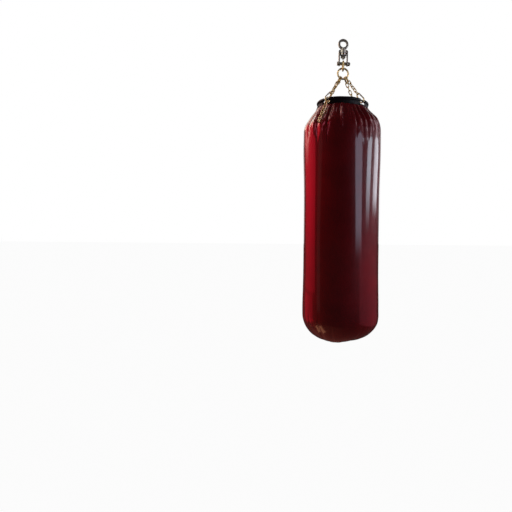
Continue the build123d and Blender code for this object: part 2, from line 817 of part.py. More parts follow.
class Tail:
    """Where the tail hangs, as a hoop point and directions in the upright plane there."""

    azimuth = radians(tail_azimuth + degrees(tail_side_step / hoop_radius))
    outward = Vector(cos(azimuth), sin(azimuth), 0)
    tangent = Vector(-sin(azimuth), cos(azimuth), 0)
    point = outward * hoop_radius + Vector(0, 0, hoop_height)
    on_piping = rest_angle(neck_radius - piping_diameter / 2 - hoop_radius,
                           collar_drop - piping_diameter / 2, piping_diameter / 2)
    on_collar = rest_angle(collar_wall / 2, window_depth, 0)
    lean = radians(max(on_piping, on_collar))
    first = outward * sin(lean) - Vector(0, 0, 1) * cos(lean)
    pivot_drop = end_pitch + end_wire / 2 - hoop_wire / 2 - seat_gap - tail_bend
    pivot = point + first * pivot_drop


def clear_of_shoulder(point, stand_off):
    """Whether a point in the tail's plane is `stand_off` or more from the bag's skin."""
    reach = point.dot(Tail.outward)
    drop = hem_height_top - point.Z
    if drop >= arc_drop:
        return reach >= bag_radius + stand_off
    across, up = reach - (bag_radius - shoulder_radius), arc_drop - drop
    if across > 0 and atan2(up, across) < slope:
        return hypot(across, up) >= shoulder_radius + stand_off
    return (reach - neck_radius - drop * tan(slope)) * cos(slope) >= stand_off


def tail_layout():
    """The tail's hanging links, each laid down the shoulder from the one above: the point it
    turns about, its upper wire's centre, its direction and its normal."""
    bend = (link_inner_width + chain_wire) / 2
    stand_off = link_inner_width / 2 + chain_wire + tail_clearance
    stand_off += chain_pitch**2 / (8 * shoulder_radius)
    pivot = Tail.pivot
    layout = []
    for i in range(tail_links):
        # Links lie flat and edge-on in turn. A flat one hangs inside the bend above it, and
        # an edge-on one hangs round the wire above it.
        if i == 0:
            start, length = tail_bend - (end_wire + chain_wire) / 2 - seat_gap, 0
        elif i % 2 == 0:
            start, length = bend - chain_wire - seat_gap, 0
        else:
            start, length = -chain_wire - seat_gap, -bend
        length += start + chain_pitch + chain_wire
        low, high = -pi / 4, pi / 2
        for _ in range(40):
            angle = (low + high) / 2
            direction = Tail.outward * sin(angle) - Vector(0, 0, 1) * cos(angle)
            if clear_of_shoulder(pivot + direction * length, stand_off):
                high = angle
            else:
                low = angle
        normal = Tail.tangent if i % 2 else direction.cross(Tail.tangent)
        layout.append((pivot, pivot + direction * start, direction, normal))
        pivot += direction * length
    return layout


def tail_link():
    """The tail's first link, through the window and round the hoop."""
    start = Tail.point - Tail.first * ((hoop_wire + end_wire) / 2 + seat_gap)
    blank = link(end_pitch, end_inner_width, end_wire)
    return placed(blank, start, Tail.first, Tail.tangent)


def tail_chain(layout):
    """Some of the tail's hanging links."""
    blank = link(chain_pitch, link_inner_width, chain_wire)
    return [placed(blank, start, along, normal) for _, start, along, normal in layout]


# ------------------------------------------------------------------ all nodes
def nodes():
    """Every node's name with its solid or solids."""
    shank_clear = shank_diameter / 2 + running_gap
    made = {
        "top_eye": top_eye(),
        "lock_nut": lock_nut(),
        "split_pin": split_pin(),
        "lower_race": race(nut_top, lower_race_top, ball_height, shank_clear),
        "upper_race": race(upper_race_bottom, yoke_underside, ball_height, shank_clear),
        "bearing_balls": bearing_balls(),
        "ball_cage": ball_cage(),
        "swivel_yoke": swivel_yoke(),
        "cross_bolt": cross_bolt(),
        "bolt_nut": bolt_nut(),
        "bolt_spacers": bolt_spacers(),
        "swing_link": swing_link(),
        "master_ring": master_ring(),
        "end_links": [end_link(leg) for leg in legs],
        "top_hoop": top_hoop(),
        "rim_collar": rim_collar(),
        "hem_piping": hem_piping(),
        "skin": skin(),
        "foam_lining": foam_lining(),
        "inner_liner": inner_liner(),
        "filling": filling(),
        "foot_patch": foot_patch(),
        "top_panel": top_panel(),
        "panel_flange": panel_flange(),
        "zip_tape": zip_tape(),
        "zip_teeth": zip_teeth(),
        "zip_stops": zip_stops(),
        "zip_slider": zip_slider(),
        "zip_tab": zip_tab(),
        "tail_link": tail_link(),
        "tail_chain": tail_chain(tail_layout()[:-tail_end_links]),
        "tail_end": tail_chain(tail_layout()[-tail_end_links:]),
    }
    hook, gate, pin = snap_hook_body(), snap_gate(), gate_hinge_pin()
    for number, leg in enumerate(legs, 1):
        made[f"chain_leg_{number}"] = chain_leg(leg)
        made[f"snap_hook_{number}"] = on_leg(hook, leg)
        made[f"snap_gate_{number}"] = on_leg(gate, leg)
    made["gate_pins"] = [on_leg(pin, leg) for leg in legs]
    return made


# ------------------------------------------------------------------ how it moves
def hinge(parent, child, point, axis, low=None, high=None):
    """A turning joint: degrees from rest, or no limits at all."""
    return {"parent": parent, "child": child, "point": point, "axis": axis, "range": (low, high)}


def joints():
    """Every joint's parent and child, its point, its axis and its range from rest."""
    upright, across, ahead = Vector(0, 0, 1), Vector(1, 0, 0), Vector(0, 1, 0)
    bearing = Vector(0, 0, ball_height)
    inward = Tail.tangent * -1
    made = {
        "swivel_spin": hinge("eye", "yoke", bearing, upright),
        "cage_spin": hinge("eye", "cage", bearing, upright),
        "fore_aft_swing": hinge("yoke", "swing_link", Vector(0, 0, bolt_height), across,
                                -swing_limit, swing_limit),
        "side_swing": hinge("swing_link", "bag", Vector(0, 0, swing_bottom_bar), ahead,
                            -swing_limit, swing_limit),
        "tail_lift": hinge("bag", "tail_link", Tail.point, inward, 0, tail_lift),
        "tail_chain_lift": hinge("tail_link", "tail_chain", Tail.pivot, inward, 0, tail_lift),
        "tail_end_lift": hinge("tail_chain", "tail_end", tail_layout()[-tail_end_links][0],
                               inward, 0, tail_lift),
        "zip_tab_flip": hinge("zip_slider", "zip_tab", Vector(bail_x, 0, bail_height), ahead,
                              0, tab_flip),
        "zip_slide": {"parent": "bag", "child": "zip_slider", "axis": across,
                      "range": (0, slider_travel)},
    }
    for number, leg in enumerate(legs, 1):
        across_hook = leg.last_normal.cross(leg.along)
        pin = leg.at(leg.starts()[-1])
        pin += leg.along * HookShape.hinge.X + across_hook * HookShape.hinge.Y
        made[f"gate_{number}_press"] = hinge("bag", f"gate_{number}", pin,
                                             leg.last_normal * -1, 0, gate_opening)
    return made


if __name__ == "__main__":
    os.makedirs("parts", exist_ok=True)
    for name, shape in nodes().items():
        solids = shape if isinstance(shape, list) else [shape]
        whole = [s for item in solids for s in item.solids()]
        export_step(whole[0] if len(whole) == 1 else Compound(children=whole),
                    f"parts/{name}.step")
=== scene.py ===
"""Looks of the hanging punch bag. Metres, in the CAD's frame: origin at the hanging eye's
centre, +Z up, front -Y. Angles round the bag run from +X, and `front()` measures them from
the camera's side, positive to the right."""

import bpy
import math
import random

import numpy as np
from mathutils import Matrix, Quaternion, Vector


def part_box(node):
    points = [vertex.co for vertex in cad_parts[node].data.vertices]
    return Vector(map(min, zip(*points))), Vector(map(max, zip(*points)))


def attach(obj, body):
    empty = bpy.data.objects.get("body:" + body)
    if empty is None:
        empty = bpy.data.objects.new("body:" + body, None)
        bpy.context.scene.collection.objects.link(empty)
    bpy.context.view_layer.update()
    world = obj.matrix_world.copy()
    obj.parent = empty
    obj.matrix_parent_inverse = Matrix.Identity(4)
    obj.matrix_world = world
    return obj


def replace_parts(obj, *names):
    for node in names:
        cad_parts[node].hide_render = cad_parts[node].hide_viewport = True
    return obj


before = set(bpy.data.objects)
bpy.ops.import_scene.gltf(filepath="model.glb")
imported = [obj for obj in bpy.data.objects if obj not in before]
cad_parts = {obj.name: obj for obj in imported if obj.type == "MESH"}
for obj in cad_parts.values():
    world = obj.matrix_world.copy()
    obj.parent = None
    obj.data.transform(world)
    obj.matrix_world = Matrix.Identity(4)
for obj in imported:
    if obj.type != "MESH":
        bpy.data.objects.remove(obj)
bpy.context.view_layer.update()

TAU = 2 * math.pi

# ------------------------------------------------------------------ camera
CAMERA_AZIMUTH = math.radians(264.0)
CAMERA_DISTANCE = 2.13
CAMERA_HEIGHT = -0.867
CAMERA_PITCH = math.radians(-2.86)
CAMERA_ROLL = math.radians(0.65)
CAMERA_SHIFT = -0.1658  # of the picture's width; the bag stands right of the middle
SENSOR_MM = 36
LENS_MM = 31.8867


def front(degrees):
    """An angle round the bag, given from the camera's side."""
    return CAMERA_AZIMUTH + math.radians(degrees)


def off_angle(theta, middle):
    """How far angles lie from a middle one, from -pi to pi."""
    return (theta - middle + math.pi) % TAU - math.pi


# ------------------------------------------------------------------ sizes from the frame
skin_low, skin_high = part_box("skin")
patch_low, patch_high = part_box("foot_patch")
piping_low, piping_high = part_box("hem_piping")
panel_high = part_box("top_panel")[1]
tape_low, tape_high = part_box("zip_tape")
HEM = skin_high.z
BOTTOM = skin_low.z
BAG = skin_high.x
NECK = piping_high.x
PATCH = patch_high.x
PIPING = (piping_high.z - piping_low.z) / 2
COLLAR = NECK - 0.007  # the collar's outer face, inside the hem
SLOPE = math.radians(31.0)  # of the shoulder, from upright
SHOULDER = 0.075  # radius of the turn from shoulder to side
FOOT = 0.125  # radius of the turn from side to underside


# ------------------------------------------------------------------ materials
def node_maths(tree, operation, a, b):
    """A maths node on two values, each a number or another node's output."""
    node = tree.nodes.new("ShaderNodeMath")
    node.operation = operation
    for socket, value in zip(node.inputs, (a, b)):
        if isinstance(value, (int, float)):
            socket.default_value = value
        else:
            tree.links.new(value, socket)
    return node.outputs[0]


class Nodes:
    """A material's node tree with a Principled shader, built by short calls."""

    def __init__(self, name):
        self.material = bpy.data.materials.new(name)
        self.material.use_nodes = True
        self.tree = self.material.node_tree
        self.shader = self.tree.nodes["Principled BSDF"]
        self.place = self.add("ShaderNodeTexCoord").outputs["Object"]

    def add(self, kind, **settings):
        node = self.tree.nodes.new(kind)
        for key, value in settings.items():
            setattr(node, key, value)
        return node

    def link(self, source, target):
        self.tree.links.new(source, target)

    def set(self, **values):
        for key, value in values.items():
            self.shader.inputs[key.replace("_", " ")].default_value = value

    def noise(self, scale, detail=4.0, roughness=0.55, distortion=0.0, place=None):
        node = self.add("ShaderNodeTexNoise")
        node.inputs["Scale"].default_value = scale
        node.inputs["Detail"].default_value = detail
        node.inputs["Roughness"].default_value = roughness
        node.inputs["Distortion"].default_value = distortion
        self.link(place or self.place, node.inputs["Vector"])
        return node.outputs["Fac"]

    def cells(self, scale):
        node = self.add("ShaderNodeTexVoronoi")
        node.inputs["Scale"].default_value = scale
        self.link(self.place, node.inputs["Vector"])
        return node.outputs["Distance"]

    def stretched(self, x, y, z):
        """The place, scaled by its own factor along each axis."""
        node = self.add("ShaderNodeMapping")
        node.inputs["Scale"].default_value = (x, y, z)
        self.link(self.place, node.inputs["Vector"])
        return node.outputs["Vector"]

    def ramp(self, source, low, high, at=(0.35, 0.65)):
        """Grey or colour from `low` to `high` as the source rises between two places."""
        node = self.add("ShaderNodeValToRGB")
        for element, value, spot in zip(node.color_ramp.elements, (low, high), at):
            element.color = value if isinstance(value, tuple) else (value,) * 3 + (1,)
            element.position = spot
        self.link(source, node.inputs["Fac"])
        return node.outputs["Color"]

    def maths(self, operation, a, b):
        return node_maths(self.tree, operation, a, b)

    def mix(self, factor, a, b):
        """Colour `a`, giving way to `b` as the factor rises."""
        node = self.add("ShaderNodeMix", data_type="RGBA")
        for socket, value in ((node.inputs[0], factor), (node.inputs[6], a), (node.inputs[7], b)):
            if isinstance(value, (int, float, tuple)):
                socket.default_value = value
            else:
                self.link(value, socket)
        return node.outputs[2]

    def bump(self, height, distance, strength=1.0, under=None):
        node = self.add("ShaderNodeBump")
        node.inputs["Distance"].default_value = distance
        node.inputs["Strength"].default_value = strength
        self.link(height, node.inputs["Height"])
        if under:
            self.link(under, node.inputs["Normal"])
        return node.outputs["Normal"]

    def finish(self, colour=None, roughness=None, normal=None):
        for source, name in ((colour, "Base Color"), (roughness, "Roughness"), (normal, "Normal")):
            if source:
                self.link(source, self.shader.inputs[name])
        return self.material


def linear(red, green, blue):
    """A linear colour from its 0-255 display values."""
    steps = [v / 255 for v in (red, green, blue)]
    return tuple(v / 12.92 if v < 0.04045 else ((v + 0.055) / 1.055) ** 2.4 for v in steps) + (1,)


def vinyl(name, colour, dark, gloss=0.36, coat=1.0):
    """Coated oxblood vinyl: fine grain, soft ripples, scuffs and a thin glossy top coat."""
    n = Nodes(name)
    cloudy = n.noise(7.0, 5.0, 0.6)
    base = n.mix(n.ramp(cloudy, 0.0, 1.0, (0.3, 0.75)), colour, dark)
    scuffs = n.noise(1.0, 6.0, 0.7, 0.6, n.stretched(38, 38, 9))
    scuffed = n.ramp(scuffs, 0.0, 1.0, (0.60, 0.74))
    base = n.mix(n.maths("MULTIPLY", scuffed, 0.10), base, linear(150, 52, 48))
    smudges = n.ramp(n.noise(16.0, 6.0, 0.62), gloss - 0.06, gloss + 0.12, (0.3, 0.7))
    rough = n.mix(n.maths("MULTIPLY", scuffed, 0.35), smudges, (0.6, 0.6, 0.6, 1))
    ripple = n.bump(n.noise(24.0, 2.0, 0.45), 0.0016, 0.35)
    grain = n.bump(n.cells(950.0), 0.00010, 0.35, ripple)
    n.set(Specular_IOR_Level=0.22, Coat_Weight=coat, Coat_Roughness=0.08, Coat_IOR=1.5)
    return n.finish(base, rough, grain)


def metal(name, bright, dull, rough=(0.24, 0.42)):
    """Plated or bare steel: clouded plating, fine scratches and dulled patches."""
    n = Nodes(name)
    patches = n.noise(55.0, 6.0, 0.65)
    base = n.mix(n.ramp(patches, 0.0, 1.0, (0.32, 0.72)), bright, dull)
    grime = n.ramp(n.noise(160.0, 5.0, 0.7, 0.4), 0.0, 1.0, (0.62, 0.80))
    base = n.mix(n.maths("MULTIPLY", grime, 0.45), base, tuple(0.35 * v for v in dull[:3]) + (1,))
    lines = n.noise(1.0, 3.0, 0.6, 0.0, n.stretched(420, 420, 1900))
    roughness = n.ramp(n.maths("ADD", n.maths("MULTIPLY", lines, 0.35),
                               n.maths("MULTIPLY", patches, 0.65)), rough[0], rough[1])
    fine = n.bump(lines, 0.00006, 0.25)
    dents = n.bump(n.noise(130.0, 2.0, 0.5), 0.0003, 0.25, fine)
    n.set(Metallic=1.0)
    return n.finish(base, roughness, dents)


def coated(name, colour, worn, rough):
    """Coated webbing: a tight weave under a matt, worn rubbery coat."""
    n = Nodes(name)
    rubbed = n.ramp(n.noise(40.0, 6.0, 0.7, 0.3), 0.0, 1.0, (0.52, 0.78))
    base = n.mix(rubbed, colour, worn)
    uneven = n.ramp(n.noise(60.0, 5.0, 0.6), rough - 0.08, rough + 0.14)
    weave = n.bump(n.cells(760.0), 0.00018, 0.5)
    soft = n.bump(n.noise(45.0, 2.0, 0.5), 0.0012, 0.3, weave)
    return n.finish(base, uneven, soft)


def woven(name, warp, weft, scale):
    """Plain-weave cloth: two crossed waves, a little fluff and uneven dye."""
    n = Nodes(name)
    threads = []
    for direction in ("X", "Y"):
        wave = n.add("ShaderNodeTexWave", bands_direction=direction)
        wave.inputs["Scale"].default_value = scale
        wave.inputs["Distortion"].default_value = 0.6
        wave.inputs["Detail Scale"].default_value = 3.0
        n.link(n.place, wave.inputs["Vector"])
        threads.append(wave.outputs["Fac"])
    height = n.maths("MAXIMUM", *threads)
    uneven = n.ramp(n.noise(30.0, 5.0, 0.6), 0.0, 1.0, (0.3, 0.75))
    base = n.mix(uneven, warp, weft)
    base = n.mix(n.maths("MULTIPLY", height, 0.25), base, (0, 0, 0, 1))
    roughness = n.ramp(uneven, 0.79, 0.93)
    n.set(Sheen_Weight=0.25, Sheen_Roughness=0.5)
    return n.finish(base, roughness, n.bump(height, 0.0003, 0.6))


def thread(name, colour, shade):
    """Bonded nylon sewing thread with its twist."""
    n = Nodes(name)
    twist = n.noise(900.0, 2.0)
    base = n.mix(n.ramp(twist, 0.0, 1.0), colour, shade)
    rough = n.ramp(twist, 0.45, 0.65)
    return n.finish(base, rough, n.bump(twist, 0.0002, 0.5))


oxblood = vinyl("oxblood_vinyl", linear(132, 13, 22), linear(102, 9, 17))
oxblood_trim = vinyl("oxblood_trim", linear(138, 22, 30), linear(104, 14, 22), 0.34, 0.4)
yellow_zinc = metal("yellow_zinc", linear(240, 220, 170), linear(214, 182, 116))
zinc_steel = metal("zinc_steel", linear(214, 210, 200), linear(168, 162, 150), (0.28, 0.5))
ground_steel = metal("ground_steel", linear(222, 222, 224), linear(188, 188, 192), (0.14, 0.3))
dark_steel = metal("dark_steel", linear(150, 146, 138), linear(96, 90, 82), (0.34, 0.55))
brass = metal("zip_brass", linear(214, 178, 104), linear(166, 128, 66), (0.22, 0.4))
black_coat = coated("black_coated_webbing", linear(22, 20, 18), linear(42, 38, 34), 0.55)
black_canvas = woven("black_canvas", linear(34, 32, 31), linear(24, 23, 23), 45.0)
black_tape = woven("black_zip_tape", linear(26, 25, 25), linear(18, 18, 18), 65.0)
red_thread = thread("red_thread", linear(150, 34, 40), linear(96, 18, 24))

metal_nodes = set()


def repaint(material, *names):
    """Metal nodes of the CAD get a finished material in place of their own."""
    metal_nodes.update(names)
    for name in names:
        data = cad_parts[name].data
        data.materials.clear()
        data.materials.append(material)
        for polygon in data.polygons:
            polygon.use_smooth = True


LEGS = range(1, 5)
repaint(yellow_zinc, "end_links", "master_ring", "swing_link", "tail_link", "tail_chain",
        "tail_end", *[f"chain_leg_{i}" for i in LEGS], *[f"snap_hook_{i}" for i in LEGS])
repaint(zinc_steel, "top_eye", "swivel_yoke", "lock_nut", "cross_bolt", "bolt_nut",
        "bolt_spacers", "split_pin", "gate_pins", *[f"snap_gate_{i}" for i in LEGS])
repaint(ground_steel, "lower_race", "upper_race", "bearing_balls")
repaint(dark_steel, "top_hoop")
repaint(brass, "ball_cage", "zip_teeth", "zip_stops", "zip_slider", "zip_tab")


# ------------------------------------------------------------------ mesh helpers
def piece(name, verts, faces, material):
    """A smooth mesh object that rides on the bag."""
    mesh = bpy.data.meshes.new(name)
    mesh.from_pydata([tuple(v) for v in verts], [], faces)
    mesh.materials.append(material)
    for polygon in mesh.polygons:
        polygon.use_smooth = True
    mesh.update()
    made = bpy.data.objects.new(name, mesh)
    bpy.context.collection.objects.link(made)
    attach(made, "bag")
    return made


def ring_faces(rows, columns, close_rows=False):
    """Quads of a grid whose columns close on themselves, and its rows too if asked. They face
    outward where the rows run down the piece."""
    faces = []
    last = rows if close_rows else rows - 1
    for i in range(last):
        low, high = i * columns, (i + 1) % rows * columns
        for j in range(columns):
            k = (j + 1) % columns
            faces.append((low + j, high + j, high + k, low + k))
    return faces


def disc_faces(rows, columns):
    """Rings closed by a last point in the middle, facing down."""
    last, middle = (rows - 1) * columns, rows * columns
    return ring_faces(rows, columns) + [
        (last + j, middle, last + (j + 1) % columns) for j in range(columns)]


def around(columns):
    """Even angles round the bag."""
    return np.arange(columns) * TAU / columns


def ring(radius, height, theta):
    """Points at the angles, at one radius and height or at one for each angle."""
    return np.stack([radius * np.cos(theta), radius * np.sin(theta), theta * 0 + height], axis=1)


# ------------------------------------------------------------------ the bag's own line
class Line:
    """The bag's outline from the hem down to the middle of its foot, by distance along it."""

    turn = BAG - SHOULDER * (1 - math.cos(SLOPE))
    slant = (turn - NECK) / math.sin(SLOPE)
    turn_height = HEM - slant * math.cos(SLOPE)
    arc_height = turn_height - SHOULDER * math.sin(SLOPE)
    shoulder_end = slant + SHOULDER * SLOPE
    side_end = shoulder_end + arc_height - (BOTTOM + FOOT)
    foot_end = side_end + FOOT * math.pi / 2
    length = foot_end + BAG - FOOT

    @classmethod
    def at(cls, s):
        """Radius, height, and how far the normal points out and up."""
        if s <= cls.slant:
            r = NECK + s * math.sin(SLOPE)
            return r, HEM - s * math.cos(SLOPE), math.cos(SLOPE), math.sin(SLOPE)
        if s <= cls.shoulder_end:
            a = SLOPE - (s - cls.slant) / SHOULDER
            middle = BAG - SHOULDER
            height = cls.arc_height + SHOULDER * math.sin(a)
            return middle + SHOULDER * math.cos(a), height, math.cos(a), math.sin(a)
        if s <= cls.side_end:
            return BAG, cls.arc_height - (s - cls.shoulder_end), 1.0, 0.0
        if s <= cls.foot_end:
            a = (s - cls.side_end) / FOOT
            r = BAG - FOOT + FOOT * math.cos(a)
            return r, BOTTOM + FOOT - FOOT * math.sin(a), math.cos(a), -math.sin(a)
        return cls.length - s, BOTTOM, 0.0, -1.0


def smooth_noise(theta, along, cells, seed):
    """Smooth noise round the bag from random waves, each with up to `cells` crests to a turn.
    It stays near -1 to 1."""
    pick = random.Random(seed)
    waves = 9
    total = np.zeros(np.broadcast(theta, along).shape)
    for _ in range(waves):
        turns = pick.randint(1, cells)
        total += math.sqrt(2 / waves) * np.sin(
            turns * theta + along * pick.uniform(-1, 1) + pick.uniform(0, TAU))
    return total


def hill(places, middle, half):
    """A round hill of height 1."""
    return np.exp(-((places - middle) / half) ** 2)


class Crease:
    """A valley between two gathers: deepest near the gathered edge and closing to a point.
    Its angle at the edge and at its point, its reach, depth and half width, in metres."""

    POINT = 0.30  # share of the half width that is left at the point
    MOUTH = 0.42  # share of the depth at the edge itself, where the stitches hold it
    MOUTH_LENGTH = 0.030

    def __init__(self, start, end, reach, depth, half):
        self.start, self.end, self.reach, self.depth, self.half = start, end, reach, depth, half
        pick = random.Random(round(start * 1e4))
        self.lop = pick.uniform(0.72, 1.38)
        self.bend = pick.uniform(-0.25, 0.25)

    def shift(self, theta, s, radius):
        """How far it moves points at angles and distances from the edge: inward, so negative."""
        t = np.clip(1 - s / self.reach, 0, 1) * (s >= 0)
        along = 1 - t
        middle = self.start + (self.end - self.start) * along
        middle = middle + self.bend * self.half * np.sin(math.pi * along) / radius
        off = off_angle(theta[None, :], middle[:, None])
        half = self.half * (self.POINT + (1 - self.POINT) * np.sqrt(t))
        x = off * radius[:, None] / half[:, None]
        x = np.where(x > 0, x * self.lop, -x / self.lop)
        mouth = self.MOUTH + (1 - self.MOUTH) * np.clip(s / self.MOUTH_LENGTH, 0, 1)
        depth = self.depth * t ** 0.85 * mouth
        return -depth[:, None] * (1 - np.sin(math.pi / 2 * np.minimum(x, 1)))


FINEST_GATHER = 0.0145  # gathers narrower than this along the edge aren't divided again


def next_start(circle, k):
    """Where the crease after number `k` starts, a turn on after the last one."""
    last = k + 1 == len(circle)
    return circle[(k + 1) % len(circle)].start + (TAU if last else 0)


def creases(named, edge, spread, reach, depth, seed):
    """The listed creases, others about `spread` apart that fill the circle, with a
    reach and depth near those given, and between each two the smaller ones that the gathered
    edge, of radius `edge`, needs."""
    pick = random.Random(seed)
    large = [Crease(front(a) % TAU, front(a) % TAU + math.radians(b - a), *size)
             for a, b, *size in named]
    large.sort(key=lambda crease: crease.start)
    filled = []
    for k, crease in enumerate(large):
        filled.append(crease)
        following = next_start(large, k)
        extra = max(0, round((following - crease.start) / spread) - 1)
        for m in range(1, extra + 1):
            part = (m + pick.uniform(-0.2, 0.2)) / (extra + 1)
            start = crease.start + (following - crease.start) * part
            filled.append(Crease(start, start + pick.uniform(-0.06, 0.06), pick.uniform(*reach),
                                 depth * pick.uniform(0.7, 1.15),
                                 spread * BAG * pick.uniform(0.30, 0.42)))
    made = list(filled)

    def divide(low, high):
        gap = (high - low) * edge
        if gap < FINEST_GATHER:
            return
        start = low + (high - low) * pick.uniform(0.40, 0.60)
        lean = (high - low) * pick.uniform(-0.22, 0.22)
        made.append(Crease(start, start + lean, gap * pick.uniform(1.5, 2.4),
                           gap * pick.uniform(0.10, 0.16), gap * pick.uniform(0.36, 0.50)))
        divide(low, start)
        divide(start, high)

    for k, crease in enumerate(filled):
        divide(crease.start, next_start(filled, k))
    return made


def rounded(shift, columns_wide=1.1):
    """Rounds creases and ridges over about so many columns."""
    k = np.arange(-6, 7)
    weight = np.exp(-0.5 * (k / columns_wide) ** 2)
    weight /= weight.sum()
    return sum(w * np.roll(shift, n, axis=1) for n, w in zip(k, weight))


def tuck(theta, s, radius, start, end, reach, height, left, right):
    """One pinch that stands up at the gathered edge and dies away down the bag: a tent with
    flat sides, `left` and `right` metres wide."""
    t = np.clip(1 - s / reach, 0, 1)
    middle = front(start) + math.radians(end - start) * s / reach
    x = off_angle(theta[None, :], middle[:, None]) * radius[:, None]
    x = np.where(x < 0, -x / left, x / right)
    return (height * t ** 0.6 * (s >= 0))[:, None] * np.clip(1 - x, 0, 1)


NECK_CREASES = (  # degrees from the camera's side at the hem and at the point, then metres
    (-86, -83, 0.170, 0.0100, 0.024), (-64, -58, 0.185, 0.0120, 0.026),
    (-40, -37, 0.195, 0.0120, 0.026), (-23, -21, 0.200, 0.0085, 0.017),
    (-12, -12, 0.085, 0.0034, 0.016), (4, 6, 0.085, 0.0034, 0.016),
    (12, 12, 0.110, 0.0060, 0.018), (20, 21, 0.170, 0.0085, 0.015),
    (28, 31, 0.205, 0.0095, 0.017),
    (38, 40, 0.180, 0.0110, 0.019), (50, 51, 0.150, 0.0070, 0.013),
    (62, 67, 0.185, 0.0120, 0.026), (82, 84, 0.170, 0.0100, 0.024),
)
NECK_TUCKS = (  # as the creases, then height and the widths of its two sides
    (-1, 0, 0.135, 0.0100, 0.0078, 0.0036), (-17, -8, 0.120, 0.0022, 0.0060, 0.0040),
    (-50, -45, 0.160, 0.0032, 0.0070, 0.0050), (32, 36, 0.130, 0.0032, 0.0040, 0.0070),
    (47, 44, 0.120, 0.0032, 0.0040, 0.0070), (72, 75, 0.120, 0.0030, 0.0050, 0.0070),
)
FOOT_CREASES = (
    (-74, -70, 0.250, 0.0075, 0.026), (-52, -54, 0.260, 0.0075, 0.024),
    (-34, -33, 0.240, 0.0070, 0.022), (-14, -12, 0.190, 0.0050, 0.020),
    (8, 7, 0.160, 0.0050, 0.020), (34, 36, 0.170, 0.0055, 0.022),
)
NECK_GATHERS = 0.225  # how far down the outline the neck's fine rows reach
FOOT_GATHERS = 0.07  # how far above the foot its fine rows start
UNDER_PATCH = 0.010  # how far the skin runs in under the foot patch
HEM_CLEARANCE = 0.0046  # the furthest that the hem may dip in over the collar
DEEPEST_DIP = 0.0130  # how much further the skin may dip below the hem
HEM_HOLD = 0.025  # the hem's stitches calm creases and tucks this far down
HEM_TUCK = 0.4  # share of a tuck's height at the hem itself
FOOT_SHARE = 0.7  # share of the foot creases' depth that is used
FOOT_EASE = 0.12  # they are shallower still within this distance of the foot patch
CALM = 0.12  # uneven filling shows less within this distance of the hem
UNEVEN = (  # height, most twist in radians a metre, most crests to a turn, seed
    (0.0009, 6, 5, 3), (0.0003, 12, 13, 5),
)
FULLNESS = 0.0012  # how far the filling swells the whole cover
BULGES = ((0.0040, 0.20, 0.13), (0.0026, 0.92, 0.10))  # height, distance down, half length
SIDE_BULGES = (  # height, angle, half angle, distance down, half length
    (0.0100, front(74), 0.75, 0.062, 0.036),  # one shoulder is fuller
    (0.0045, front(66), 0.70, Line.side_end + 0.040, 0.035),  # the foot is fuller here
    (-0.0065, front(66), 0.70, Line.foot_end - 0.035, 0.050),  # and flatter underneath
)
BACK_SEAM = front(176)
SEAM_LAP, SEAM_FADE = 0.0011, 0.010  # the lapped edge's height, and how soon it dies away
LAP_FROM, LAP_TO = -0.0008, 0.05  # where it starts and ends, across the seam
INSIDE = 0.0004  # the face lies this far inside the outline, apart from what swells it


def skin_steps():
    """Distances down the outline: close together over the gathers, wide on the side."""
    top = NECK_GATHERS * np.linspace(0.0, 1.0, 64) ** 1.15
    foot_start = Line.side_end - FOOT_GATHERS
    side = np.linspace(NECK_GATHERS, foot_start, 14)[1:]
    foot = np.linspace(foot_start, Line.length - PATCH + UNDER_PATCH, 58)[1:]
    return np.concatenate([top, side, foot])


def gathers(theta, steps, radius):
    """Creases and tucks at the neck and creases at the foot."""
    shift = np.zeros((len(steps), len(theta)))
    for crease in creases(NECK_CREASES, NECK, spread=math.radians(19), reach=(0.13, 0.20),
                          depth=0.0105, seed=11):
        shift += crease.shift(theta, steps, radius)
    edge = np.clip(steps / HEM_HOLD, 0, 1)[:, None]
    limit = HEM_CLEARANCE + DEEPEST_DIP * edge
    shift = -limit * np.tanh(-shift / limit)
    for size in NECK_TUCKS:
        shift += tuck(theta, steps, radius, *size) * (HEM_TUCK + (1 - HEM_TUCK) * edge)
    from_patch = (Line.length - PATCH) - steps
    under = np.zeros_like(shift)
    for crease in creases(FOOT_CREASES, PATCH, spread=math.radians(24), reach=(0.16, 0.25),
                          depth=0.0062, seed=29):
        under += crease.shift(theta, from_patch, np.maximum(radius, 0.02))
    ease = np.clip(from_patch / FOOT_EASE, 0.10, 1)[:, None] ** 1.2
    return rounded(shift + FOOT_SHARE * under * ease)


def filling_swell(theta, steps):
    """Packed filling is never quite even: soft waves, bulges round the bag and on one side."""
    calm = np.clip(steps / CALM, 0, 1)
    swell = FULLNESS
    for height, twist, crests, seed in UNEVEN:
        swell = swell + height * calm * smooth_noise(theta, steps * twist, crests, seed)
    for height, down, half in BULGES:
        swell = swell + height * hill(steps, down, half)
    for height, angle, half_angle, down, half in SIDE_BULGES:
        side = hill(off_angle(theta, angle), 0, half_angle)
        swell = swell + height * side * hill(steps, down, half)
    return swell


def seam_lap(theta):
    """The back seam laps one edge over the other."""
    x = off_angle(theta, BACK_SEAM)[None, :] * BAG
    return SEAM_LAP * np.exp(-np.clip(x, 0, None) / SEAM_FADE) * (x > LAP_FROM) * (x < LAP_TO)


def skin_grid(columns=720):
    """Every point of the skin's outer face, as rows of rings."""
    theta = around(columns)
    steps = skin_steps()
    radius, height, out, up = np.array([Line.at(s) for s in steps]).T
    swell = filling_swell(theta[None, :], steps[:, None])
    shift = gathers(theta, steps, radius) + swell + seam_lap(theta) - INSIDE
    r = radius[:, None] + shift * out[:, None]
    z = height[:, None] + shift * up[:, None]
    grid = np.stack([r * np.cos(theta), r * np.sin(theta), z], axis=2)
    return theta, steps, grid


